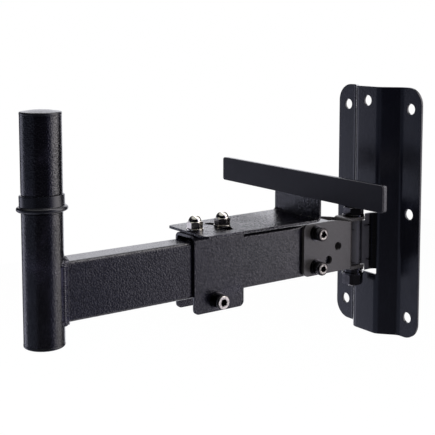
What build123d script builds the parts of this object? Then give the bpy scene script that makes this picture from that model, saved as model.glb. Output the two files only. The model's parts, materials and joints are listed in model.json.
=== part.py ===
from build123d import *
import math
import os

# Speaker wall bracket, in millimetres.
# The wall is the plane Y = 0 and the arm reaches out along -Y. Z is up and X = 0 is the plane of symmetry.
# The origin is the centre of the wall plate's back.

# Wall plate: one sheet folded to a hat section, with a window in its raised crest
plate_width = 120.6
plate_height = 262.0
plate_sheet = 3.0
plate_corner = 18.0
crest_depth = 19.0
crest_corner_x = 16.5
crest_slope = 42.0
crest_bend = 7.0
screw_hole_d = 11.0
screw_hole_x = 46.0
screw_hole_z = 109.0
crest_hole_z = 116.2
window_width = 31.6
window_height = 71.0
window_corner = 1.5

# Hinge: a barrel carried between two folded cheeks that come out through the window
hinge_y = -36.8
hinge_z = -31.4
hinge_bracket_sheet = 3.0
hinge_bracket_height = 60.0
hinge_bracket_front_y = -34.3
hinge_bracket_nose_height = 42.5
hinge_bracket_bend = 8.0
ear_clear = 0.6
foot_gap = 0.35
foot_end_x = 28.0
barrel_d = 16.0
barrel_length = 46.8
barrel_weld_end = 3.0
hinge_bolt_d = 12.0
hinge_hex = 19.0
hinge_head_height = 7.5
hinge_nut_height = 10.8
hinge_washer_d = 22.5
hinge_washer_sheet = 2.2
hinge_spring_sheet = 3.0
hinge_play = 0.05
barrel_end_play = 0.2

# Tilt bracket: one sheet folded to two side plates, a web and two ears over the barrel
bracket_sheet = 3.5
bracket_side_gap = 0.3
bracket_front_y = -118.7
bracket_web_y = -51.4
bracket_top_z = -2.2
bracket_bottom_z = -55.2
bracket_corner = 6.0
bracket_slope_start_y = -79.0
bracket_slope_drop = 4.2
bracket_bend = 1.5
ear_radius = 11.6
pivot_y = -103.0
pivot_z = -12.0
lock_radius = 34.5
lock_step = 30.0

# Arm: rectangular tube, and the round post on its end
arm_width = 25.0
arm_height = 52.4
arm_wall = 2.5
arm_corner = 3.3
arm_top_z = -3.5
arm_rear_y = -78.5
post_d = 35.0
post_wall = 2.5
post_y = -390.7
post_top_z = 120.1
post_bottom_z = -72.8
seat_d = 34.0
seat_top_z = 54.9
seat_bottom_z = 39.0
cap_lip = 2.5
cap_lip_over = 0.1
cap_dome = 1.5
cap_plug = 12.0
cap_wall = 2.0
weld_leg = 4.0
weld_width = 2.4
collar_sleeve_d = 38.0
collar_flange_d = 43.0
collar_bottom_z = 39.8
collar_flange = 4.2
collar_height = 13.9
collar_lean = 2.5

# Clamp: a folded saddle that slides on the arm, closed under it by one screw
saddle_sheet = 3.0
saddle_side_gap = 0.3
saddle_bend = 2.5
saddle_front_y = -249.1
saddle_rear_y = -192.7
saddle_drop = 15.0
saddle_corner = 5.0
clamp_screw_gap = 0.3
clamp_screw_y = -224.0

# Swivel plate: one sheet with an upturned tab, a pivot hole and a curved slot
swivel_sheet = 2.5
swivel_near_x = 31.2
swivel_far_x = 32.0
tab_far_x = 38.0
swivel_front_y = -247.3
swivel_corner = 4.0
swivel_bend = 3.0
swivel_pivot_y = -237.8
swivel_radius = 31.1
swivel_swing = 29.0
slot_width = 9.0
tab_top_z = 47.0
tab_corner = 3.0

# Stop bar on the tab, with a rubber pad on its face
bar_length = 243.0
bar_height = 24.8
bar_sheet = 4.0
bar_bottom_z = 25.9
bar_rear_y = -112.3
bar_corner = 2.5
pad_sheet = 2.0

# Small fasteners, all of one thread size
bolt_d = 8.0
bolt_hex = 13.0
bolt_head_height = 2.8
bolt_head_clear = 0.2
cap_head_d = 13.0
cap_head_height = 8.0
cap_socket = 6.0
cap_socket_depth = 4.5
washer_d = 16.0
washer_sheet = 1.6
spring_sheet = 2.0
nut_height = 6.5
thread_past_nut = 2.0
dome_height = 12.4
dome_hex_height = 6.5
dome_d = 12.4
free_play = 0.05

# Sizes worked out from those above
arm_bottom_z = arm_top_z - arm_height
arm_mid_z = (arm_top_z + arm_bottom_z) / 2
arm_inner_x = arm_width / 2 - arm_wall
bracket_inner_x = arm_width / 2 + bracket_side_gap
bracket_outer_x = bracket_inner_x + bracket_sheet
ear_top_z = hinge_z + barrel_length / 2 + barrel_end_play + bracket_sheet
ear_bottom_z = hinge_z - barrel_length / 2 - barrel_end_play - bracket_sheet
saddle_inner_x = arm_width / 2 + saddle_side_gap
saddle_outer_x = saddle_inner_x + saddle_sheet
saddle_under_z = arm_top_z + bolt_head_clear + bolt_head_height
saddle_top_z = saddle_under_z + saddle_sheet
saddle_bottom_z = arm_bottom_z - saddle_drop
saddle_mid_y = (saddle_front_y + saddle_rear_y) / 2
clamp_screw_z = arm_bottom_z - clamp_screw_gap - bolt_d / 2
swivel_top_z = saddle_top_z + swivel_sheet
slot_bolt_y = swivel_pivot_y + swivel_radius
bar_mid_z = bar_bottom_z + bar_height / 2

parts = {}


def facing(axis, place):
    """A plane whose local Z points along the axis, with its local X level."""
    return Plane(origin=place, z_dir=axis, x_dir=(0, 1, 0) if axis[0] else (1, 0, 0))


def disc(diameter, height, bore=0.0):
    """A round or ring-shaped piece standing on local Z = 0."""
    piece = extrude(Circle(diameter / 2), height)
    if bore:
        piece -= extrude(Circle(bore / 2), height)
    return piece


def hexagon(across_flats, height, chamfered_top=True, bore=0.0):
    """A hexagon bar end with its top, and a nut's underside, turned down to a cone."""
    corner_d = across_flats / math.cos(math.radians(30))
    piece = extrude(RegularPolygon(across_flats / 2, 6, major_radius=False), height)
    turned = extrude(Circle(corner_d / 2), height)
    bevel = (corner_d - across_flats) / 2
    top = turned.edges().group_by(Axis.Z)[-1] if chamfered_top else []
    bottom = turned.edges().group_by(Axis.Z)[0] if bore else []
    turned = chamfer(list(top) + list(bottom), length=bevel * 0.55, length2=bevel)
    piece &= turned
    if bore:
        piece -= extrude(Circle(bore / 2), height)
    return piece


def spring_washer(outer_d, bore, height):
    """A split ring: one slanted cut, with its two ends a little apart in height."""
    ring = disc(outer_d, height, bore)
    cut = Pos(outer_d / 2, 0, height / 2) * Rot(25, 0, 0) * Box(outer_d, 0.8, 3 * height)
    return ring - cut


def cap_screw(length):
    """A socket cap screw: local Z = 0 is under the head, which stands up, and the shank goes down."""
    head = disc(cap_head_d, cap_head_height)
    head = chamfer(head.edges().group_by(Axis.Z)[-1], 0.7)
    socket = Pos(0, 0, cap_head_height - cap_socket_depth) * extrude(
        RegularPolygon(cap_socket / 2, 6, major_radius=False), cap_socket_depth
    )
    shank = Pos(0, 0, -length) * disc(bolt_d, length)
    shank = chamfer(shank.edges().group_by(Axis.Z)[0], 0.8)
    return head - socket + shank


def through_screw(name, y, z, half_width):
    """A cap screw across the arm at height z, with washers on both sides and a nut on the far side."""
    near = facing((1, 0, 0), (half_width, y, z))
    far = facing((-1, 0, 0), (-half_width, y, z))
    stack = washer_sheet + spring_sheet
    length = 2 * half_width + stack + washer_sheet + nut_height + thread_past_nut
    parts[name] = near * Pos(0, 0, stack) * cap_screw(length)
    ring = disc(washer_d, washer_sheet, bolt_d + 0.4)
    parts[name + "_washers"] = Compound([near * ring, far * ring])
    spring = spring_washer(washer_d - 1.4, bolt_d + 0.4, spring_sheet)
    parts[name + "_spring_washer"] = near * Pos(0, 0, washer_sheet) * spring
    nut = hexagon(bolt_hex, nut_height, bore=bolt_d)
    parts[name + "_nut"] = far * Pos(0, 0, washer_sheet) * nut


def cross_hole(diameter, y, z, reach=100.0):
    """A cylinder along X, to drill both sides of a piece at once."""
    return Pos(0, y, z) * Rot(0, 90, 0) * Cylinder(diameter / 2, reach)


def wall_hole(x, z):
    """A cylinder along Y, to drill the wall plate."""
    return Pos(x, 0, z) * Rot(90, 0, 0) * Cylinder(screw_hole_d / 2, 4 * crest_depth)


def folded_section(points, radii, sheet):
    """A folded sheet's section: its thickness lies to the left of the line through the points."""
    return make_face(offset(FilletPolyline(*points, radius=radii), amount=sheet, side=Side.LEFT))


def mirrored_section(points, radii, sheet):
    """The same from the half of the line at X >= 0, for a sheet that is symmetric about X = 0."""
    full = [(-x, y) for x, y in reversed(points)] + points
    return folded_section(full, radii[::-1] + radii, sheet)


# Wall plate
slope_run = (crest_depth - plate_sheet) / math.tan(math.radians(crest_slope))
flange_corner_x = crest_corner_x + slope_run


hat_section = mirrored_section(
    [
        (crest_corner_x, -crest_depth),
        (flange_corner_x, -plate_sheet),
        (plate_width / 2, -plate_sheet),
    ],
    [crest_bend + plate_sheet, crest_bend],
    plate_sheet,
)
hat = Pos(0, 0, -plate_height / 2) * extrude(hat_section, plate_height)
outline = Rot(90, 0, 0) * extrude(
    RectangleRounded(plate_width, plate_height, plate_corner), 2 * crest_depth, both=True
)
window = Pos(0, 0, hinge_z) * Rot(90, 0, 0) * extrude(
    RectangleRounded(window_width, window_height, window_corner), 2 * crest_depth
)
wall_plate = (hat & outline) - window
for side in (-1, 1):
    for level in (-1, 0, 1):
        wall_plate -= wall_hole(side * screw_hole_x, level * screw_hole_z)
wall_plate -= wall_hole(0, crest_hole_z)
parts["wall_plate"] = wall_plate

# Hinge bracket: two cheeks beside the barrel, their feet against the inside of the plate's slanted sides
slope = math.radians(crest_slope)
inner_corner_x = crest_corner_x - plate_sheet * math.tan(slope / 2)
cheek_x = barrel_d / 2 + hinge_bracket_sheet


def foot_line_y(x):
    """Height of the feet's front face, a small gap behind the plate's inner face."""
    on_plate = -crest_depth + plate_sheet + (x - inner_corner_x) * math.tan(slope)
    return on_plate + foot_gap / math.cos(slope)


cheek_section = folded_section(
    [
        (cheek_x, hinge_bracket_front_y),
        (cheek_x, foot_line_y(cheek_x)),
        (foot_end_x, foot_line_y(foot_end_x)),
    ],
    hinge_bracket_bend,
    hinge_bracket_sheet,
)
nose_y = hinge_y + ear_radius + ear_clear
nose_side = Pos(hinge_bracket_front_y, hinge_z) * Rectangle(
    2 * (nose_y - hinge_bracket_front_y), hinge_bracket_nose_height
)
rear_side = Pos(nose_y, hinge_z) * Rectangle(
    2 * crest_depth, hinge_bracket_height, align=(Align.MIN, Align.CENTER)
)
cheek = Pos(0, 0, hinge_z - hinge_bracket_height / 2) * extrude(cheek_section, hinge_bracket_height)
cheek &= extrude(Plane.YZ * (nose_side + rear_side), foot_end_x)
parts["hinge_bracket"] = Compound([cheek, mirror(cheek, about=Plane.YZ)])

# Hinge barrel, with the weld that fills the space between it and the cheeks
barrel_low_z = hinge_z - barrel_length / 2
barrel = Pos(0, hinge_y, barrel_low_z) * disc(barrel_d, barrel_length)
weld_height = hinge_bracket_nose_height - 2 * barrel_weld_end
barrel += Pos(0, hinge_y + barrel_d / 4, hinge_z) * Box(barrel_d, barrel_d / 2, weld_height)
barrel -= Pos(0, hinge_y, barrel_low_z) * disc(hinge_bolt_d + 2 * hinge_play, barrel_length)
parts["hinge_barrel"] = barrel

# Hinge bolt with its washers and nut, clamped to the ears
top_seat_z = ear_top_z + hinge_washer_sheet
nut_top_z = ear_bottom_z - 2 * hinge_washer_sheet - hinge_spring_sheet
nut_low_z = nut_top_z - hinge_nut_height
shank_length = top_seat_z - nut_low_z + thread_past_nut
hinge_head = hexagon(hinge_hex, hinge_head_height)
hinge_shank = Pos(0, 0, -shank_length) * disc(hinge_bolt_d, shank_length)
hinge_shank = chamfer(hinge_shank.edges().group_by(Axis.Z)[0], 1.0)
parts["hinge_bolt"] = Pos(0, hinge_y, top_seat_z) * (hinge_head + hinge_shank)
hinge_ring = disc(hinge_washer_d, hinge_washer_sheet, hinge_bolt_d + 0.6)
parts["hinge_washers"] = Compound(
    [
        Pos(0, hinge_y, ear_top_z) * hinge_ring,
        Pos(0, hinge_y, ear_bottom_z - hinge_washer_sheet) * hinge_ring,
        Pos(0, hinge_y, nut_top_z) * hinge_ring,
    ]
)
hinge_spring = spring_washer(hinge_washer_d - 3, hinge_bolt_d + 0.6, hinge_spring_sheet)
parts["hinge_spring_washer"] = Pos(0, hinge_y, nut_top_z + hinge_washer_sheet) * hinge_spring
parts["hinge_nut"] = Pos(0, hinge_y, nut_low_z) * hexagon(hinge_hex, hinge_nut_height, bore=hinge_bolt_d)

# Tilt bracket: a channel for the side plates and web, and a second fold for the two ears
fold = bracket_bend + bracket_sheet
channel_face = folded_section(
    [
        (bracket_outer_x, bracket_front_y),
        (bracket_outer_x, bracket_web_y),
        (-bracket_outer_x, bracket_web_y),
        (-bracket_outer_x, bracket_front_y),
    ],
    fold,
    bracket_sheet,
)
bracket_height = bracket_top_z - bracket_bottom_z
channel = Pos(0, 0, bracket_bottom_z) * extrude(channel_face, bracket_height)
side_view = Polygon(
    (bracket_front_y, bracket_bottom_z),
    (bracket_web_y, bracket_bottom_z),
    (bracket_web_y, bracket_top_z - bracket_slope_drop),
    (bracket_slope_start_y, bracket_top_z),
    (bracket_front_y, bracket_top_z),
    align=None,
)
side_view = fillet(side_view.vertices().group_by(Axis.X)[0], bracket_corner)
channel &= extrude(Plane.YZ * side_view, bracket_outer_x, both=True)
web_front_y = bracket_web_y - bracket_sheet
ears_face = folded_section(
    [
        (hinge_y + ear_radius, ear_top_z),
        (web_front_y, ear_top_z),
        (web_front_y, ear_bottom_z),
        (hinge_y + ear_radius, ear_bottom_z),
    ],
    fold,
    bracket_sheet,
)
ears = extrude(Plane.YZ * ears_face, ear_radius, both=True)
ear_plan = Pos(0, hinge_y) * Circle(ear_radius) + Pos(0, (hinge_y + web_front_y) / 2) * Rectangle(
    2 * ear_radius, hinge_y - web_front_y
)
ears &= Pos(0, 0, ear_bottom_z) * extrude(ear_plan, ear_top_z - ear_bottom_z)
corner_relief = Pos(0, web_front_y + bracket_sheet / 2, 0)
relief_box = Box(2 * ear_radius + 1, bracket_sheet + 0.2, 4 * fold)
for z in (ear_top_z, ear_bottom_z):
    channel -= corner_relief * Pos(0, 0, z) * relief_box
tilt_bracket = channel + ears
tilt_bracket -= Pos(0, hinge_y, hinge_z) * Cylinder(hinge_bolt_d / 2 + 0.05, 2 * bracket_height)
tilt_bracket -= cross_hole(bolt_d + 0.4, pivot_y, pivot_z)
for step in range(3):
    turn = math.radians(-90 + step * lock_step)
    hole_y = pivot_y + lock_radius * math.cos(turn)
    hole_z = pivot_z + lock_radius * math.sin(turn)
    tilt_bracket -= cross_hole(bolt_d + 0.4, hole_y, hole_z)
parts["tilt_bracket"] = tilt_bracket

# Arm tube, coped to the post, and the weld round the joint
arm_section = RectangleRounded(arm_width, arm_height, arm_corner)
arm_hole = RectangleRounded(
    arm_width - 2 * arm_wall, arm_height - 2 * arm_wall, max(arm_corner - arm_wall, 0.5)
)
arm_start = facing((0, -1, 0), (0, arm_rear_y, arm_mid_z))
arm_length = arm_rear_y - post_y
arm_solid = arm_start * extrude(arm_section, arm_length)
arm_tube = arm_start * extrude(arm_section - arm_hole, arm_length)
post_outside = Pos(0, post_y, post_bottom_z) * disc(post_d, post_top_z - post_bottom_z)
arm_tube -= post_outside
lock_z = pivot_z - lock_radius
for z in (pivot_z, lock_z):
    arm_tube -= cross_hole(bolt_d + 0.4, pivot_y, z)
parts["arm_tube"] = arm_tube

weld_plane = facing((0, -1, 0), (0, post_y + post_d / 2 + weld_leg, arm_mid_z))
weld = weld_plane * extrude(arm_section, post_d / 2 + weld_leg, taper=-30)
weld &= Pos(0, post_y, arm_mid_z) * Cylinder(post_d / 2 + weld_leg, 2 * arm_height)
weld_outline = RectangleRounded(
    arm_width + 2 * weld_width, arm_height + 2 * weld_width, arm_corner + weld_width
)
weld &= weld_plane * extrude(weld_outline, post_d / 2 + weld_leg)
parts["arm_weld"] = weld - arm_solid - post_outside

# Post with its two caps, and the collar in its shallow seat
post_low = Pos(0, post_y, post_bottom_z)
post_length = post_top_z - post_bottom_z
post_inner_d = post_d - 2 * post_wall
seat_place = Pos(0, post_y, seat_bottom_z)
seat_height = seat_top_z - seat_bottom_z
seat_groove = disc(post_d + 2, seat_height, seat_d)
parts["post_tube"] = post_low * disc(post_d, post_length, post_inner_d) - seat_place * seat_groove


def end_cap(dome):
    """A pushed-in cap: a lip over the tube's end, a low two-step dome, and a hollow plug below local Z = 0."""
    lip = disc(post_d + 2 * cap_lip_over, cap_lip)
    lip = chamfer(lip.edges().group_by(Axis.Z)[-1], 0.7)
    plug_d = post_inner_d - 2 * free_play
    plug = Pos(0, 0, -cap_plug) * disc(plug_d, cap_plug, plug_d - 2 * cap_wall)
    cap = lip + plug
    if dome:
        rim = post_d / 2 - 2.0
        low = extrude(Circle(rim), 0.7 * dome, taper=math.degrees(math.atan(0.4 * rim / (0.7 * dome))))
        top = extrude(Circle(0.6 * rim), 0.3 * dome, taper=math.degrees(math.atan(0.35 * rim / (0.3 * dome))))
        cap += Pos(0, 0, cap_lip) * (low + Pos(0, 0, 0.7 * dome) * top)
    return cap


parts["top_cap"] = Pos(0, post_y, post_top_z) * end_cap(cap_dome)
parts["bottom_cap"] = Pos(0, post_y, post_bottom_z) * Rot(180, 0, 0) * end_cap(0)

flange = disc(collar_flange_d, collar_flange)
flange = chamfer(flange.edges(), 1.2)
sleeve = disc(collar_sleeve_d, collar_height)
sleeve = chamfer(sleeve.edges().group_by(Axis.Z)[-1], 0.6)
collar = Pos(0, 0, -collar_height / 2) * (flange + sleeve)
collar_mid_z = collar_bottom_z + collar_height / 2
lean = Rot(0, -collar_lean, 0)
collar = Pos(0, post_y, collar_mid_z) * lean * collar
parts["collar"] = collar - Pos(0, post_y, collar_mid_z) * Cylinder(seat_d / 2, 3 * collar_height)

# Tilt screw and lock screw, across the bracket and the arm
through_screw("tilt_screw", pivot_y, pivot_z, bracket_outer_x)
through_screw("lock_screw", pivot_y, lock_z, bracket_outer_x)

# Clamp saddle: an upside-down channel over the arm
saddle_face = folded_section(
    [
        (saddle_outer_x, saddle_bottom_z),
        (saddle_outer_x, saddle_top_z),
        (-saddle_outer_x, saddle_top_z),
        (-saddle_outer_x, saddle_bottom_z),
    ],
    saddle_bend + saddle_sheet,
    saddle_sheet,
)
saddle_length = saddle_rear_y - saddle_front_y
saddle = extrude(Plane.XZ * saddle_face, saddle_length / 2, both=True)
flap_view = Pos(0, saddle_top_z) * Rectangle(saddle_length, 2 * (saddle_top_z - saddle_bottom_z))
flap_view = fillet(flap_view.vertices().group_by(Axis.Y)[0], saddle_corner)
saddle &= extrude(Plane.YZ * flap_view, 2 * saddle_outer_x, both=True)
saddle = Pos(0, saddle_mid_y, 0) * saddle
saddle -= cross_hole(bolt_d + 0.4, clamp_screw_y, clamp_screw_z)
for y in (swivel_pivot_y, slot_bolt_y):
    saddle -= Pos(0, y, saddle_top_z) * Cylinder(bolt_d / 2 + free_play, 4 * saddle_sheet)
parts["clamp_saddle"] = saddle
through_screw("clamp_screw", clamp_screw_y, clamp_screw_z, saddle_outer_x)

# Two bolts stand up through the saddle, their heads between it and the arm
washer_top_z = swivel_top_z + washer_sheet
stud_length = washer_top_z - saddle_under_z + dome_hex_height + 2
stud = Pos(0, 0, -bolt_head_height) * hexagon(bolt_hex, bolt_head_height) + disc(bolt_d, stud_length)


def dome_nut():
    """A hexagon with a ball top, bored from below to take the stud."""
    nut = hexagon(bolt_hex, dome_hex_height)
    straight = dome_height - dome_d / 2
    nut += disc(dome_d, straight) + Pos(0, 0, straight) * Sphere(dome_d / 2)
    return nut - disc(bolt_d, stud_length + saddle_under_z - washer_top_z)


parts["saddle_bolts"] = Compound(
    [Pos(0, y, saddle_under_z) * stud for y in (swivel_pivot_y, slot_bolt_y)]
)
parts["swivel_washers"] = Compound(
    [Pos(0, y, swivel_top_z) * disc(washer_d, washer_sheet, bolt_d + 0.4) for y in (swivel_pivot_y, slot_bolt_y)]
)
parts["dome_nuts"] = Compound(
    [Pos(0, y, washer_top_z) * dome_nut() for y in (swivel_pivot_y, slot_bolt_y)]
)

# Swivel plate with its upturned tab
tab_front_y = bar_rear_y
tab_rear_y = tab_front_y + swivel_sheet
swivel_face = folded_section(
    [
        (swivel_front_y, saddle_top_z),
        (tab_rear_y, saddle_top_z),
        (tab_rear_y, tab_top_z),
    ],
    swivel_bend + swivel_sheet,
    swivel_sheet,
)
swivel = extrude(Plane.YZ * swivel_face, tab_far_x, both=True)
swivel_plan = Polygon(
    (swivel_near_x, swivel_front_y),
    (swivel_near_x, tab_rear_y),
    (-tab_far_x, tab_rear_y),
    (-swivel_far_x, swivel_front_y),
    align=None,
)
swivel_plan = fillet(swivel_plan.vertices().group_by(Axis.Y)[0], swivel_corner)
swivel &= extrude(swivel_plan, tab_top_z)
tab_corners = swivel.edges().filter_by(Axis.Y).group_by(Axis.Z)[-1]
swivel = fillet(tab_corners, tab_corner)
swing_arc = CenterArc((0, swivel_pivot_y), swivel_radius, 90 - swivel_swing, 2 * swivel_swing)
slot = Pos(0, 0, saddle_top_z - 1) * extrude(SlotArc(swing_arc, slot_width), swivel_sheet + 2)
swivel -= slot
swivel -= Pos(0, swivel_pivot_y, swivel_top_z) * Cylinder(bolt_d / 2 + free_play, 4 * swivel_sheet)
parts["swivel_plate"] = swivel

# Stop bar and its pad
bar_front = facing((0, -1, 0), (0, bar_rear_y, bar_mid_z))
bar_outline = RectangleRounded(bar_length, bar_height, bar_corner)
parts["stop_bar"] = bar_front * extrude(bar_outline, bar_sheet)
parts["rubber_pad"] = bar_front * Pos(0, 0, bar_sheet) * extrude(bar_outline, pad_sheet)

os.makedirs("parts", exist_ok=True)
for name, piece in parts.items():
    piece.label = name
    export_step(piece, "parts/" + name + ".step")
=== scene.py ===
import json
import math

import bmesh
import bpy
from mathutils import Matrix, Vector


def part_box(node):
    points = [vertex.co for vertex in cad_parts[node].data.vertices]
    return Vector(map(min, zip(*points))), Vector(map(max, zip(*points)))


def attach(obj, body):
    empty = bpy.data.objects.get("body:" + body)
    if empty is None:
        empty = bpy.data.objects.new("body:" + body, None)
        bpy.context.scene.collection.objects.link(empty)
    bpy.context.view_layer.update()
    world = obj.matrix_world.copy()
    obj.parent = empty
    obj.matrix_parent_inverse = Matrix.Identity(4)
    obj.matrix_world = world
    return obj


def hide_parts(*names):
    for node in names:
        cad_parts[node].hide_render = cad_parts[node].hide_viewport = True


# Speaker wall bracket: the finish of its painted sheets, tubes and fasteners, in metres
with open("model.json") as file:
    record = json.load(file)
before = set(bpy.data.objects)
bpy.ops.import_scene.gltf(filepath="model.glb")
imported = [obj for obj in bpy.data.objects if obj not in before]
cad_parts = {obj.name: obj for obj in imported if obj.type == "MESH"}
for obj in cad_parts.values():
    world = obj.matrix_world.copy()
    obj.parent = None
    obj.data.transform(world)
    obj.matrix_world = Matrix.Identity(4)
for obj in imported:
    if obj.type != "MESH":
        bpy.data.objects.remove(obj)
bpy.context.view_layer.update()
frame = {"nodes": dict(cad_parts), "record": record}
nodes = frame["nodes"]
body_of_node = {
    node: body
    for body, members in frame["record"]["behaviour"]["bodies"].items()
    for node in members
}
MM = 0.001

# Camera, at the place the photograph was taken from
camera_place = (0.7144, -0.7198, 0.187)
camera_turn = 54.6
camera_down = 5.73
camera_lens = 78.13
camera_sensor = 36
camera_shift_y = -0.2075
camera_near = 0.05
camera_far = 20

# Hinge cheeks: where their tall part's front edge is in the frame, where its outer and inner corners come to,
# and the plane behind which the cheeks' colour is painted dark, as shade
cheek_step_y = -24.6 * MM
cheek_outer_y = -31.2 * MM
cheek_inner_y = -28.0 * MM
cheek_middle_x = 9.5 * MM
cheek_shade_y = -24.5 * MM
cheek_shade_fade = 0.6 * MM
same_place = 0.05 * MM

# Hinge noses, between the ears: the heights that pick out their ends in the frame, and the half height they
# get. All three are counted from the middle of the bracket.
nose_above = 20 * MM
nose_below = 22 * MM
nose_half_height = 22.9 * MM

# Edges: how finely they are rounded, and from what angle they count as sharp. Points this near are one point,
# and faces this nearly level with each other are one face.
rounding_steps = 2
sharp_angle = math.radians(35)
one_point = 0.002 * MM
least_edge = 0.001 * MM
level_angle = math.radians(0.3)

# Paint: how large its dust, glossy specks, ripples and cloudy patches are, how pointed an edge is where it
# starts to wear and where it is worn, how pale the worn paint is, and the near black painted as shade behind
# the cheeks
dust_grain = 0.5 * MM
speck_grain = 1.1 * MM
ripple_grain = 6 * MM
cloud_grain = 30 * MM
blunt_edge = 0.54
sharp_edge = 0.62
worn_edge = 0.10
shade_black = 0.001

# Steel and mouldings: how large their scratches and patches are, and how deep the scratches
scratch_grain = 0.6 * MM
scratch_depth = 0.08 * MM
stain_grain = 4 * MM
patch_grain = 20 * MM

# Cap screws, and the bright ring on each head: its inner and outer radius, and how pale it is
cap_screws = ("tilt_screw", "lock_screw", "clamp_screw")
arm_ring = (4.3 * MM, 5.1 * MM, 0.26)
clamp_ring = (3.9 * MM, 6.1 * MM, 0.75)
ring_fade = 0.2 * MM
ring_unevenness = 0.5 * MM
unevenness_grain = 1.2 * MM
# Size of the painted glints in the cap screws' sockets
glint_grain = 1.6 * MM
turned_depth = 0.03 * MM
turned_scale = 900.0
head_chamfer = 0.8 * MM
knurl_middle_in = 4.2 * MM

# Screw threads, and how far in from the screw's end they start
m8_thread = {"Thread radius": 4.0 * MM, "Pitch": 1.25 * MM, "Turns": 2.6}
m8_start_in = 0.3 * MM
m12_thread = {"Thread radius": 6.0 * MM, "Pitch": 1.75 * MM, "Turns": 2.0}
m12_start_in = 0.4 * MM

# Dome nuts: the least face that counts as one of the six flats
least_flat_area = 6 * MM * MM

# Welds: the line that the scales are set on, at the arm's joint with the post and beside the barrel
post_radius = 17.5 * MM
arm_weld_out = 0.9 * MM
arm_weld_corner = 4.0 * MM
arm_weld_step = 0.8 * MM
corner_steps = 6
barrel_weld_half = 19 * MM
barrel_weld_in = 0.4 * MM
barrel_weld_out = 0.1 * MM
barrel_weld_steps = 30
barrel_weld_seed = 3

# Floor: its place, its own grey, and how white the camera sees it
floor_z = -0.42
floor_half = 1.6
floor_grey = 0.85
floor_white = 1.08
floor_white_share = 0.88

# Studio: the level of its matt light, and the direction round from +X where its angles wrap, in a dark part
matt_level = 0.3
wrap_turn = 155


def link(thing):
    bpy.context.scene.collection.objects.link(thing)
    return thing


def place_camera():
    data = bpy.data.cameras.new("camera")
    data.sensor_width = camera_sensor
    data.lens = camera_lens
    data.shift_y = camera_shift_y
    data.clip_start = camera_near
    data.clip_end = camera_far
    camera = link(bpy.data.objects.new("camera", data))
    camera.location = camera_place
    camera.rotation_euler = (math.radians(90 - camera_down), 0, math.radians(camera_turn))
    bpy.context.scene.camera = camera


# Node trees


class Tree:
    """A node tree, filled one node at a time. A value is a number, a colour or another node's socket."""

    def __init__(self, tree):
        self.tree = tree
        self.tree.nodes.clear()

    def add(self, kind, inputs=None, **settings):
        node = self.tree.nodes.new(kind)
        for key, value in settings.items():
            setattr(node, key, value)
        for key, value in (inputs or {}).items():
            self.feed(node.inputs[key], value)
        return node

    def feed(self, socket, value):
        if isinstance(value, bpy.types.NodeSocket):
            self.tree.links.new(value, socket)
        else:
            socket.default_value = value

    def math(self, operation, *values):
        return self.add("ShaderNodeMath", dict(enumerate(values)), operation=operation).outputs[0]


class Shader(Tree):
    """A material's or the world's nodes."""

    def ramp(self, value, low, high, out_low=0.0, out_high=1.0):
        """Maps low to out_low and high to out_high, smoothly, and holds beyond them."""
        node = self.add(
            "ShaderNodeMapRange",
            {"Value": value, "From Min": low, "From Max": high, "To Min": out_low, "To Max": out_high},
            interpolation_type="SMOOTHSTEP",
        )
        return node.outputs["Result"]

    def noise(self, place, grain, detail, roughness):
        """Noise whose lumps are about grain metres across."""
        node = self.add(
            "ShaderNodeTexNoise",
            {"Vector": place, "Scale": 1 / grain, "Detail": detail, "Roughness": roughness},
        )
        return node.outputs["Fac"]

    def bump(self, height, distance, strength=1.0):
        node = self.add("ShaderNodeBump", {"Strength": strength, "Distance": distance, "Height": height})
        return node.outputs["Normal"]

    def mix(self, share, first, second):
        """A colour between the first and the second."""
        node = self.add("ShaderNodeMix", data_type="RGBA")
        sockets = [socket for socket in node.inputs if socket.enabled]
        for socket, value in zip(sockets, (share, first, second)):
            self.feed(socket, value)
        return next(socket for socket in node.outputs if socket.enabled)

    def skin(self, **inputs):
        """The surface, from the values of its inputs, whose names have underscores for spaces here."""
        named = {key.replace("_", " "): value for key, value in inputs.items()}
        surface = self.add("ShaderNodeBsdfPrincipled", named).outputs[0]
        self.add("ShaderNodeOutputMaterial", {"Surface": surface})


def new_material(name):
    material = bpy.data.materials.new(name)
    material.use_nodes = True
    return material, Shader(material.node_tree)


def grey(level, tint=(1.0, 1.0, 1.0)):
    return (level * tint[0], level * tint[1], level * tint[2], 1.0)


# Finishes


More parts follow.
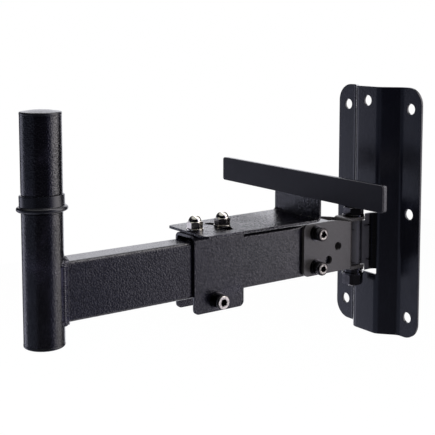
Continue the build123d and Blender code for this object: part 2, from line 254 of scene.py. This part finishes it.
def black_paint(
    name, level, tint, grain, lump_height, rough, orange_peel=0.0, wear=0.35, speckle=0.08, shade_behind=None
):
    """Black powder coat: small hammered lumps, a long soft ripple, a colour that varies and paler worn edges.
    Its gloss varies in specks, by the speckle. Where a plane of Y is given, the colour behind it is painted
    near black, as shade in the dark recess behind the hinge cheeks."""
    material, shader = new_material(name)
    place = shader.add("ShaderNodeTexCoord").outputs["Object"]
    lumps = shader.add(
        "ShaderNodeTexVoronoi",
        {"Vector": place, "Scale": 1 / grain, "Smoothness": 0.3, "Randomness": 1.0},
        feature="SMOOTH_F1",
    ).outputs["Distance"]
    wrinkle = shader.noise(place, grain * 1.3, 1.0, 0.5)
    dust = shader.noise(place, dust_grain, 2.0, 0.6)
    cloud = shader.noise(place, cloud_grain, 3.0, 0.55)
    ripple = shader.noise(place, ripple_grain, 2.0, 0.5)
    specks = shader.noise(place, speck_grain, 1.0, 0.5)

    height = shader.math("ADD", shader.math("MULTIPLY", lumps, -1.0), shader.math("MULTIPLY", wrinkle, 0.25))
    height = shader.math("ADD", height, shader.math("MULTIPLY", ripple, orange_peel))

    pointy = shader.add("ShaderNodeNewGeometry").outputs["Pointiness"]
    chafed = shader.math("MULTIPLY", shader.math("SUBTRACT", cloud, 0.5), 0.12)
    # Real edge wear here; the same name carries the painted glints on the cap screw heads
    wear_and_glints = shader.ramp(shader.math("ADD", pointy, chafed), blunt_edge, sharp_edge)

    base = shader.mix(cloud, grey(level * 0.75, tint), grey(level * 1.3, tint))
    base = shader.mix(shader.ramp(dust, 0.66, 0.8, 0.0, 0.25), base, grey(level * 3 + 0.006, tint))
    base = shader.mix(shader.math("MULTIPLY", wear_and_glints, wear), base, grey(worn_edge, tint))
    # Painted shade: behind the given plane the colour fades to near black, standing in for the dark recess
    if shade_behind is not None:
        depth = shader.add("ShaderNodeSeparateXYZ", {0: place}).outputs["Y"]
        shade_share = shader.ramp(depth, shade_behind - cheek_shade_fade, shade_behind + cheek_shade_fade)
        base = shader.mix(shade_share, base, grey(shade_black))
    shader.skin(
        Base_Color=base,
        Roughness=shader.ramp(cloud, 0.3, 0.7, rough - 0.03, rough + 0.04),
        Normal=shader.bump(height, lump_height),
        Specular_IOR_Level=shader.ramp(specks, 0.34, 0.66, 0.5 - speckle, 0.5 + speckle),
    )
    return material


def metal(name, level, tint, rough, scratch, stain):
    """Bare or blackened steel: turned marks in the roughness, fine scratches, and stains in the colour."""
    material, shader = new_material(name)
    place = shader.add("ShaderNodeTexCoord").outputs["Object"]
    marks = shader.noise(place, scratch_grain, 3.0, 0.6)
    stained = shader.ramp(shader.noise(place, stain_grain, 3.0, 0.6), 0.35, 0.7, 0.0, stain)
    shader.skin(
        Base_Color=shader.mix(stained, grey(level, tint), grey(level * 0.35, tint)),
        Metallic=1.0,
        Roughness=shader.ramp(marks, 0.3, 0.7, rough * 0.75, rough * 1.25),
        Normal=shader.bump(marks, scratch_depth, scratch),
    )
    return material


def moulded(name, level, tint, grain, bump_height, rough, gloss=0.5):
    """Moulded black plastic or rubber: a fine even grain, slightly uneven gloss and colour."""
    material, shader = new_material(name)
    place = shader.add("ShaderNodeTexCoord").outputs["Object"]
    fine = shader.noise(place, grain, 3.0, 0.6)
    patches = shader.noise(place, patch_grain, 2.0, 0.5)
    shader.skin(
        Base_Color=shader.mix(patches, grey(level * 0.8, tint), grey(level * 1.2, tint)),
        Roughness=shader.ramp(fine, 0.3, 0.7, rough - 0.05, rough + 0.05),
        Normal=shader.bump(fine, bump_height),
        Specular_IOR_Level=gloss,
    )
    return material


cool = (0.9, 0.95, 1.7)
mauve = (1.0, 0.92, 1.7)
slate = (0.98, 0.95, 1.15)
warm = (1.0, 0.94, 0.84)
brown = (1.03, 0.94, 0.96)
thin_coat = {"grain": 1.0 * MM, "orange_peel": 0.5, "wear": 0.2}

paints = {
    "hammer_paint": dict(
        level=0.003, tint=mauve, grain=1.5 * MM, lump_height=0.14 * MM, rough=0.2, speckle=0.22
    ),
    "plate_paint": dict(
        level=0.006, tint=cool, grain=1.2 * MM, lump_height=0.04 * MM, rough=0.2, orange_peel=0.8, wear=0.2
    ),
    "swivel_paint": dict(
        level=0.003, tint=mauve, grain=1.6 * MM, lump_height=0.30 * MM, rough=0.24, speckle=0.44
    ),
    "satin_paint": dict(thin_coat, level=0.045, tint=brown, lump_height=0.02 * MM, rough=0.32),
    # The hinge bracket's coat carries painted shade: near black behind the cheeks' plane
    "bracket_paint": dict(
        thin_coat, level=0.045, tint=slate, lump_height=0.02 * MM, rough=0.3, shade_behind=cheek_shade_y
    ),
    "barrel_paint": dict(thin_coat, level=0.062, tint=slate, lump_height=0.06 * MM, rough=0.3),
}
metals = {
    "dark_steel": dict(level=0.09, tint=(1.0, 0.97, 1.0), rough=0.13, scratch=0.4, stain=0.5),
    "bright_steel": dict(level=0.55, tint=warm, rough=0.2, scratch=0.4, stain=0.3),
    "chrome": dict(level=0.72, tint=(1.0, 0.96, 0.86), rough=0.08, scratch=0.15, stain=0.2),
}
mouldings = {
    "cap_plastic": dict(
        level=0.005, tint=(1.0, 1.05, 1.7), grain=0.6 * MM, bump_height=0.01 * MM, rough=0.28
    ),
    "pad_rubber": dict(
        level=0.014, tint=(1.0, 0.97, 1.35), grain=0.7 * MM, bump_height=0.04 * MM, rough=0.5, gloss=0.2
    ),
}
finish = {
    name: make(name, **values)
    for make, table in ((black_paint, paints), (metal, metals), (moulded, mouldings))
    for name, values in table.items()
}


def head_face(name, centre_y, centre_z, inner, outer, ring_level):
    """A cap screw's end: a bright turned ring round a dark socket with a few glints, in a dark chamfer."""
    material, shader = new_material(name)
    place = shader.add("ShaderNodeTexCoord").outputs["Object"]
    away = shader.add(
        "ShaderNodeVectorMath", {0: place, 1: (0, centre_y, centre_z)}, operation="SUBTRACT"
    ).outputs[0]
    flat = shader.add("ShaderNodeVectorMath", {0: away, 1: (0, 1, 1)}, operation="MULTIPLY").outputs[0]
    radius = shader.add("ShaderNodeVectorMath", {0: flat}, operation="LENGTH").outputs["Value"]
    uneven = shader.math("SUBTRACT", shader.noise(place, unevenness_grain, 2.0, 0.6), 0.5)
    socket_edge = shader.math("ADD", radius, shader.math("MULTIPLY", uneven, ring_unevenness))
    past_socket = shader.ramp(socket_edge, inner - ring_fade, inner + ring_fade)
    before_chamfer = shader.ramp(radius, outer - ring_fade, outer + ring_fade, 1.0, 0.0)
    turned = shader.add(
        "ShaderNodeTexWave",
        {"Vector": away, "Scale": turned_scale, "Distortion": 1.5},
        wave_type="RINGS",
        rings_direction="X",
    ).outputs["Fac"]
    # Painted glints: this noise paints bright warm patches into the dark socket as highlights, and makes the
    # ring's tone uneven
    wear_and_glints = shader.ramp(shader.noise(place, glint_grain, 2.0, 0.6), 0.42, 0.62)
    socket = shader.mix(wear_and_glints, grey(0.03, brown), grey(0.6, warm))
    ring = shader.mix(wear_and_glints, grey(ring_level, warm), grey(ring_level * 0.55, warm))
    dark = shader.mix(past_socket, socket, grey(0.035, brown))
    shader.skin(
        Base_Color=shader.mix(shader.math("MULTIPLY", past_socket, before_chamfer), dark, ring),
        Metallic=1.0,
        Roughness=shader.ramp(turned, 0, 1, 0.24, 0.36),
        Normal=shader.bump(turned, turned_depth, 0.3),
    )
    return material


# Pieces made from the frame's nodes


def extent(node, axis):
    """The least and greatest place of a node along an axis."""
    values = [vertex.co[axis] for vertex in nodes[node].data.vertices]
    return min(values), max(values)


def centre(node):
    """The middle of a node's box."""
    return [sum(extent(node, axis)) / 2 for axis in range(3)]


def finished(piece, node, material, *replaced):
    """Gives a piece its material. It rides with that node's body, and stands in for the replaced nodes,
    where some are named."""
    piece.data.materials.clear()
    piece.data.materials.append(finish[material])
    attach(piece, body_of_node[node])
    if replaced:
        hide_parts(*replaced)
    return piece


def reach_round_ears(mesh):
    """The cheeks' tall front edges come forward until they just clear the ears, slanted as the ears' round
    ends are, and the noses between the ears stand up to just short of them."""
    low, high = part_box("hinge_bracket")
    middle_z = (low[2] + high[2]) / 2
    for vertex in mesh.verts:
        x, y, z = vertex.co
        above = z - middle_z
        if abs(y - cheek_step_y) < same_place and abs(above) > nose_above:
            vertex.co.y = cheek_outer_y if abs(x) > cheek_middle_x else cheek_inner_y
        if nose_above < abs(above) < nose_below:
            vertex.co.z = middle_z + math.copysign(nose_half_height, above)


def applied(piece):
    """The piece as a plain mesh, with its modifiers worked in and removed."""
    graph = bpy.context.evaluated_depsgraph_get()
    graph.update()
    made = bpy.data.meshes.new_from_object(
        piece.evaluated_get(graph), preserve_all_data_layers=True, depsgraph=graph
    )
    piece.modifiers.clear()
    piece.data = made
    return piece


def rounded_copy(node, rounding):
    """A closed copy of a node's mesh with its sharp edges rounded, and its curves shaded smooth."""
    piece = link(bpy.data.objects.new(node + "_finish", nodes[node].data.copy()))
    mesh = bmesh.new()
    mesh.from_mesh(piece.data)
    bmesh.ops.remove_doubles(mesh, verts=mesh.verts, dist=one_point)
    if node == "hinge_bracket":
        reach_round_ears(mesh)
    bmesh.ops.dissolve_degenerate(mesh, dist=least_edge, edges=mesh.edges)
    bmesh.ops.dissolve_limit(mesh, angle_limit=level_angle, verts=mesh.verts, edges=mesh.edges)
    mesh.to_mesh(piece.data)
    mesh.free()
    for polygon in piece.data.polygons:
        polygon.use_smooth = True
    if rounding:
        bevel = piece.modifiers.new("rounding", "BEVEL")
        bevel.width = rounding
        bevel.segments = rounding_steps
        bevel.limit_method = "ANGLE"
        bevel.angle_limit = sharp_angle
        bevel.use_clamp_overlap = False
        bevel.miter_outer = "MITER_ARC"
    piece.data.set_sharp_from_angle(angle=sharp_angle)
    even = piece.modifiers.new("even_shading", "WEIGHTED_NORMAL")
    even.keep_sharp = not rounding
    return applied(piece)


def dress_nodes():
    """Every node gets its finish, on a copy with rounded edges."""
    plan = {
        "wall_plate": ("plate_paint", 0.5 * MM),
        "hinge_bracket": ("bracket_paint", 0.4 * MM),
        "hinge_barrel": ("barrel_paint", 0.3 * MM),
        "hinge_bolt": ("dark_steel", 0.3 * MM),
        "hinge_washers": ("dark_steel", 0.25 * MM),
        "hinge_spring_washer": ("dark_steel", 0.2 * MM),
        "hinge_nut": ("dark_steel", 0.3 * MM),
        "tilt_bracket": ("satin_paint", 0.4 * MM),
        "arm_tube": ("hammer_paint", 0.25 * MM),
        "arm_weld": ("hammer_paint", 0.0),
        "post_tube": ("hammer_paint", 0.2 * MM),
        "top_cap": ("cap_plastic", 0.3 * MM),
        "bottom_cap": ("cap_plastic", 0.3 * MM),
        "collar": ("cap_plastic", 0.5 * MM),
        "clamp_saddle": ("hammer_paint", 0.4 * MM),
        "saddle_bolts": ("dark_steel", 0.15 * MM),
        "swivel_washers": ("chrome", 0.15 * MM),
        "dome_nuts": ("chrome", 0.15 * MM),
        "swivel_plate": ("swivel_paint", 0.35 * MM),
        "stop_bar": ("plate_paint", 0.35 * MM),
        "rubber_pad": ("pad_rubber", 0.4 * MM),
    }
    for screw in cap_screws:
        plan[screw] = ("dark_steel", 0.1 * MM)
        plan[screw + "_washers"] = ("dark_steel", 0.15 * MM)
        plan[screw + "_spring_washer"] = ("dark_steel", 0.12 * MM)
        plan[screw + "_nut"] = ("dark_steel", 0.15 * MM)
    return {
        node: finished(rounded_copy(node, rounding), node, material, node)
        for node, (material, rounding) in plan.items()
    }


def bright_heads(pieces, rings):
    """The flat end of each cap screw's head is bare steel, turned bright; its socket and side stay dark."""
    for node, (inner, outer, ring_level) in rings.items():
        mesh = pieces[node].data
        middle = centre(node)
        mesh.materials.append(head_face(node + "_face", middle[1], middle[2], inner, outer, ring_level))
        end_x = max(vertex.co.x for vertex in mesh.vertices)
        for polygon in mesh.polygons:
            if polygon.center.x > end_x - head_chamfer and polygon.normal.x > 0.3:
                polygon.material_index = 1


def dull_flats(piece):
    """The dome nuts' six-sided part is duller than their polished domes."""
    mesh = piece.data
    mesh.materials.append(finish["bright_steel"])
    middle_z = centre("dome_nuts")[2]
    for polygon in mesh.polygons:
        upright = abs(polygon.normal.z) < 0.1
        if upright and polygon.center.z < middle_z and polygon.area > least_flat_area:
            polygon.material_index = 1


# Repeating features, each grown by geometry nodes and then kept as a plain mesh


def feature_group(name, sizes):
    """A geometry node group with one named input per size, given as its default."""
    group = bpy.data.node_groups.new(name, "GeometryNodeTree")
    tree = Tree(group)
    group.interface.new_socket("Geometry", in_out="INPUT", socket_type="NodeSocketGeometry")
    for label, value in sizes.items():
        kind = "NodeSocketInt" if isinstance(value, int) else "NodeSocketFloat"
        group.interface.new_socket(label, in_out="INPUT", socket_type=kind).default_value = value
    group.interface.new_socket("Geometry", in_out="OUTPUT", socket_type="NodeSocketGeometry")
    source = tree.add("NodeGroupInput")
    return group, tree, {socket.name: socket for socket in source.outputs}


def close_group(tree, shape, material):
    real = tree.add("GeometryNodeRealizeInstances", {"Geometry": shape}).outputs[0]
    skin = tree.add("GeometryNodeSetMaterial", {"Geometry": real, "Material": finish[material]}).outputs[0]
    tree.add("NodeGroupOutput", {"Geometry": skin})


def grown(group, mesh, values):
    """The group's shape on a mesh, for the values given, as a plain mesh."""
    seed = link(bpy.data.objects.new(group.name, mesh))
    modifier = seed.modifiers.new(group.name, "NODES")
    modifier.node_group = group
    for item in group.interface.items_tree:
        if item.item_type == "SOCKET" and item.in_out == "INPUT" and item.name in values:
            modifier[item.identifier] = values[item.name]
    mesh = applied(seed).data
    bpy.data.objects.remove(seed)
    return mesh


def joined(name, placed_meshes):
    """One object from meshes, each moved by its matrix."""
    whole = bmesh.new()
    for mesh, matrix in placed_meshes:
        mesh.transform(matrix)
        whole.from_mesh(mesh)
    mesh = bpy.data.meshes.new(name)
    whole.to_mesh(mesh)
    whole.free()
    for polygon in mesh.polygons:
        polygon.use_smooth = True
    return link(bpy.data.objects.new(name, mesh))


def along(direction, place):
    """Turns local Z to the direction and moves the origin to the place."""
    turn = Vector(direction).to_track_quat("Z", "X").to_matrix().to_4x4()
    return Matrix.Translation(place) @ turn


def thread_group():
    """A screw thread: a helical ridge, wound along local Z."""
    group, tree, size = feature_group("screw_thread", m8_thread)
    length = tree.math("MULTIPLY", size["Pitch"], size["Turns"])
    root = tree.math("MULTIPLY", size["Pitch"], 0.2)
    crest = tree.math("SUBTRACT", size["Thread radius"], root)
    helix = tree.add(
        "GeometryNodeCurveSpiral",
        {
            "Resolution": 32,
            "Rotations": size["Turns"],
            "Start Radius": crest,
            "End Radius": crest,
            "Height": length,
        },
    ).outputs[0]
    ridge_radius = tree.math("MULTIPLY", size["Pitch"], 0.42)
    ridge = tree.add(
        "GeometryNodeCurvePrimitiveCircle", {"Resolution": 6, "Radius": ridge_radius}, mode="RADIUS"
    ).outputs[0]
    shape = tree.add(
        "GeometryNodeCurveToMesh", {"Curve": helix, "Profile Curve": ridge, "Fill Caps": True}
    ).outputs[0]
    close_group(tree, shape, "dark_steel")
    return group


def knurl_group():
    """Straight knurling: upright ridges set round a circle."""
    sizes = {
        "Ridges": 40,
        "Head radius": 6.5 * MM,
        "Ridge length": 6 * MM,
        "Ridge width": 0.5 * MM,
        "Ridge height": 0.4 * MM,
    }
    group, tree, size = feature_group("head_knurling", sizes)
    circle = tree.add(
        "GeometryNodeMeshCircle", {"Vertices": size["Ridges"], "Radius": size["Head radius"]}
    ).outputs[0]
    block_size = tree.add(
        "ShaderNodeCombineXYZ", {0: size["Ridge height"], 1: size["Ridge width"], 2: size["Ridge length"]}
    ).outputs[0]
    block = tree.add("GeometryNodeMeshCube", {"Size": block_size}).outputs[0]
    place = tree.add("GeometryNodeInputPosition").outputs[0]
    turn = tree.add("FunctionNodeAlignRotationToVector", {"Vector": place}, axis="X").outputs[0]
    shape = tree.add(
        "GeometryNodeInstanceOnPoints", {"Points": circle, "Instance": block, "Rotation": turn}
    ).outputs[0]
    close_group(tree, shape, "dark_steel")
    return group


def bead_group():
    """A weld: overlapping flat scales set along a line of points, of slightly uneven size."""
    sizes = {"Scale spacing": 1.6 * MM, "Scale radius": 2.1 * MM, "Unevenness": 0.12, "Seed": 7}
    group, tree, size = feature_group("weld_scales", sizes)
    run = tree.add("GeometryNodeMeshToCurve", {"Mesh": size["Geometry"]}).outputs[0]
    points = tree.add(
        "GeometryNodeResampleCurve", {"Curve": run, "Length": size["Scale spacing"]}, mode="LENGTH"
    ).outputs[0]
    scale = tree.add(
        "GeometryNodeMeshUVSphere", {"Segments": 12, "Rings": 8, "Radius": size["Scale radius"]}
    ).outputs[0]
    uneven = tree.add("FunctionNodeRandomValue", data_type="FLOAT")
    sockets = {socket.name: socket for socket in uneven.inputs if socket.enabled}
    tree.feed(sockets["Min"], tree.math("SUBTRACT", 1.0, size["Unevenness"]))
    tree.feed(sockets["Max"], tree.math("ADD", 1.0, size["Unevenness"]))
    tree.feed(sockets["Seed"], size["Seed"])
    amount = next(socket for socket in uneven.outputs if socket.enabled)
    flat = tree.add(
        "ShaderNodeVectorMath", {0: (1.0, 1.0, 0.7), "Scale": amount}, operation="SCALE"
    ).outputs[0]
    tangent = tree.add("GeometryNodeInputTangent").outputs[0]
    turn = tree.add("FunctionNodeAlignRotationToVector", {"Vector": tangent}, axis="Z").outputs[0]
    shape = tree.add(
        "GeometryNodeInstanceOnPoints",
        {"Points": points, "Instance": scale, "Rotation": turn, "Scale": flat},
    ).outputs[0]
    close_group(tree, shape, "hammer_paint")
    return group


def line_mesh(name, places, closed):
    """A line through the places, for scales to be set along."""
    mesh = bpy.data.meshes.new(name)
    edges = [(i, i + 1) for i in range(len(places) - 1)]
    if closed:
        edges.append((len(places) - 1, 0))
    mesh.from_pydata(places, edges, [])
    return mesh


def rounded_loop(half_width, half_height, corner, step):
    """Points round a rectangle with rounded corners, about step apart."""
    loop = []
    for side_x, side_y, start in ((1, 1, 0), (-1, 1, 90), (-1, -1, 180), (1, -1, 270)):
        for i in range(corner_steps + 1):
            turn = math.radians(start + 90 * i / corner_steps)
            x = side_x * (half_width - corner) + corner * math.cos(turn)
            y = side_y * (half_height - corner) + corner * math.sin(turn)
            loop.append((x, y))
    dense = []
    for (x0, y0), (x1, y1) in zip(loop, loop[1:] + loop[:1]):
        count = max(1, int(math.hypot(x1 - x0, y1 - y0) / step))
        dense += [(x0 + (x1 - x0) * i / count, y0 + (y1 - y0) * i / count) for i in range(count)]
    return dense


def grow_threads():
    """Threads on the screw ends that stand out past their nuts."""
    group = thread_group()
    runs = {"arm": [], "clamp": []}
    for screw in cap_screws:
        start = (extent(screw, 0)[0] + m8_start_in, *centre(screw)[1:])
        thread = grown(group, bpy.data.meshes.new("thread"), m8_thread)
        runs[body_of_node[screw]].append((thread, along((1, 0, 0), start)))
    start = (0.0, centre("hinge_bolt")[1], extent("hinge_bolt", 2)[0] + m12_start_in)
    thread = grown(group, bpy.data.meshes.new("thread"), m12_thread)
    runs["arm"].append((thread, along((0, 0, 1), start)))
    finished(joined("arm_screw_threads", runs["arm"]), "tilt_screw_nut", "dark_steel")
    finished(joined("clamp_screw_thread", runs["clamp"]), "clamp_screw_nut", "dark_steel")


def grow_knurling():
    """Knurled sides of the three cap screws' heads."""
    group = knurl_group()
    runs = {"arm": [], "clamp": []}
    for screw in cap_screws:
        middle = (extent(screw, 0)[1] - knurl_middle_in, *centre(screw)[1:])
        ridges = grown(group, bpy.data.meshes.new("knurl"), {})
        runs[body_of_node[screw]].append((ridges, along((1, 0, 0), middle)))
    finished(joined("arm_head_knurling", runs["arm"]), "tilt_screw", "dark_steel")
    finished(joined("clamp_head_knurling", runs["clamp"]), "clamp_screw", "dark_steel")


def grow_arm_weld(group):
    """Scales round the arm's end, where it meets the post's round side."""
    post_y = centre("post_tube")[1]
    half_width = extent("arm_tube", 0)[1] + arm_weld_out
    low_z, high_z = extent("arm_tube", 2)
    half_height = (high_z - low_z) / 2 + arm_weld_out
    middle_z = (high_z + low_z) / 2
    places = []
    for x, z in rounded_loop(half_width, half_height, arm_weld_corner, arm_weld_step):
        y = post_y + math.sqrt(post_radius**2 - x * x) + arm_weld_out
        places.append((x, y, middle_z + z))
    bead = grown(group, line_mesh("weld_line", places, True), {})
    finished(joined("arm_weld_scales", [(bead, Matrix())]), "arm_weld", "hammer_paint")


def grow_barrel_welds(group):
    """Scales up both sides of the barrel, where it meets the cheeks' front edges."""
    y = extent("hinge_bracket", 1)[0] + barrel_weld_in
    low_z = centre("hinge_barrel")[2] - barrel_weld_half
    step = 2 * barrel_weld_half / barrel_weld_steps
    runs = []
    for side in (-1, 1):
        x = side * (extent("hinge_barrel", 0)[1] + barrel_weld_out)
        places = [(x, y, low_z + step * i) for i in range(barrel_weld_steps + 1)]
        values = {
            "Scale spacing": 1.5 * MM,
            "Scale radius": 1.2 * MM,
            "Seed": barrel_weld_seed + side,
        }
        runs.append((grown(group, line_mesh("weld_line", places, False), values), Matrix()))
    finished(joined("barrel_weld_scales", runs), "hinge_barrel", "plate_paint")


def grow_welds():
    group = bead_group()
    grow_arm_weld(group)
    grow_barrel_welds(group)


# Floor, world and lamps


def make_floor():
    """A plain pale floor: white to the camera, and still darkened by the object's shadow."""
    mesh = bpy.data.meshes.new("floor")
    corners = [(x * floor_half, y * floor_half, floor_z) for x, y in ((-1, -1), (1, -1), (1, 1), (-1, 1))]
    mesh.from_pydata(corners, [], [(0, 1, 2, 3)])
    floor = link(bpy.data.objects.new("floor", mesh))
    material, shader = new_material("floor_white")
    path = shader.add("ShaderNodeLightPath")
    seen = shader.math("MAXIMUM", path.outputs["Is Camera Ray"], path.outputs["Is Transmission Ray"])
    whitened = shader.math("MULTIPLY", seen, floor_white_share)
    matt = shader.add("ShaderNodeBsdfDiffuse", {"Color": grey(floor_grey)}).outputs[0]
    white = shader.add("ShaderNodeEmission", {"Color": grey(1.0), "Strength": floor_white}).outputs[0]
    both = shader.add("ShaderNodeMixShader", {0: whitened, 1: matt, 2: white}).outputs[0]
    shader.add("ShaderNodeOutputMaterial", {"Surface": both})
    mesh.materials.append(material)
    floor.visible_glossy = False


def make_world():
    """White to the camera. Gloss sees a studio: a bright wall behind the object, a large lamp to the right
    rear with a bluish verge at its edge, and a dim bluish room with a paler floor in front."""
    world = bpy.data.worlds.new("studio")
    bpy.context.scene.world = world
    world.use_nodes = True
    world.cycles.sampling_method = "NONE"
    shader = Shader(world.node_tree)
    way = shader.add("ShaderNodeTexCoord").outputs["Generated"]
    wrap_x = math.cos(math.radians(wrap_turn))
    wrap_y = math.sin(math.radians(wrap_turn))

    def reach(direction):
        """How far the way looked along goes in a direction."""
        node = shader.add("ShaderNodeVectorMath", {0: way, 1: direction}, operation="DOT_PRODUCT")
        return node.outputs["Value"]

    def rising(start, end):
        return shader.ramp(turn, start - wrap_turn, end - wrap_turn)

    def falling(start, end):
        return shader.ramp(turn, start - wrap_turn, end - wrap_turn, 1.0, 0.0)

    def sector(rise_from, rise_to, fall_from, fall_to):
        return shader.math("MULTIPLY", rising(rise_from, rise_to), falling(fall_from, fall_to))

    up = reach((0, 0, 1))
    ahead = reach((wrap_x, wrap_y, 0))
    aside = reach((-wrap_y, wrap_x, 0))
    turn = shader.math("MULTIPLY", shader.math("ARCTAN2", aside, ahead), 180 / math.pi)
    lamp = shader.math("MULTIPLY", shader.math("POWER", rising(14, 50), 1.5), falling(70, 95))
    lamp = shader.math("MULTIPLY", lamp, shader.ramp(up, -0.34, -0.05, 0.35, 1.0))
    verge = sector(10, 22, 40, 62)
    wall = sector(116, 126, 158, 175)
    under = shader.ramp(up, -0.07, 0.03, 1.0, 0.03)
    near_floor = shader.math("MULTIPLY", sector(190, 200, 214, 230), under)
    far_floor = shader.math("MULTIPLY", sector(192, 200, 285, 305), under)
    below = shader.ramp(up, -0.32, -0.12, 1.0, 0.0)
    overhead = shader.ramp(up, 0.6, 0.85)
    light = (0.0, 0.0, 0.0)
    for colour, share in (
        ((3.2, 3.05, 3.1), lamp),
        ((1.5, 1.5, 1.6), wall),
        ((0.06, 0.07, 0.22), verge),
        ((1.0, 1.0, 1.2), near_floor),
        ((0.15, 0.17, 0.24), far_floor),
        ((0.10, 0.10, 0.12), below),
        ((0.7, 0.7, 0.7), overhead),
    ):
        more = shader.add("ShaderNodeVectorMath", {0: colour, "Scale": share}, operation="SCALE")
        light = shader.add("ShaderNodeVectorMath", {0: light, 1: more.outputs[0]}, operation="ADD").outputs[0]
    path = shader.add("ShaderNodeLightPath")
    glossy = shader.math("MAXIMUM", path.outputs["Is Glossy Ray"], path.outputs["Is Transmission Ray"])
    colour = shader.mix(glossy, grey(matt_level), light)
    colour = shader.mix(path.outputs["Is Camera Ray"], colour, grey(1.0))
    sky = shader.add("ShaderNodeBackground", {"Color": colour, "Strength": 1.0}).outputs[0]
    shader.add("ShaderNodeOutputWorld", {"Surface": sky})


def softbox(name, place, target, width, height, radiance, colour=(1, 1, 1)):
    """A square lamp for matt light and shadow, given by the brightness of its face. Gloss sees the world
    instead."""
    data = bpy.data.lights.new(name, "AREA")
    data.shape = "RECTANGLE"
    data.size = width
    data.size_y = height
    data.energy = radiance * math.pi * width * height
    data.color = colour
    lamp = link(bpy.data.objects.new(name, data))
    lamp.location = place
    lamp.rotation_euler = (Vector(target) - Vector(place)).to_track_quat("-Z", "Y").to_euler()
    lamp.visible_camera = False
    lamp.visible_glossy = False


def make_lamps():
    middle = (0, -0.2, 0)
    softbox("lamp_right", (1.35, 0.1, 0.35), middle, 1.3, 1.4, 1.3)
    softbox("lamp_left", (-1.0, -1.35, 0.1), middle, 1.0, 1.2, 2.2, (0.85, 0.92, 1.0))
    softbox("lamp_top", (0.2, -0.2, 1.5), middle, 1.2, 1.2, 1.0)


place_camera()
pieces = dress_nodes()
bright_heads(pieces, {"tilt_screw": arm_ring, "lock_screw": arm_ring, "clamp_screw": clamp_ring})
dull_flats(pieces["dome_nuts"])
grow_threads()
grow_knurling()
grow_welds()
make_floor()
make_world()
make_lamps()
bpy.context.scene.view_settings.view_transform = "Standard"
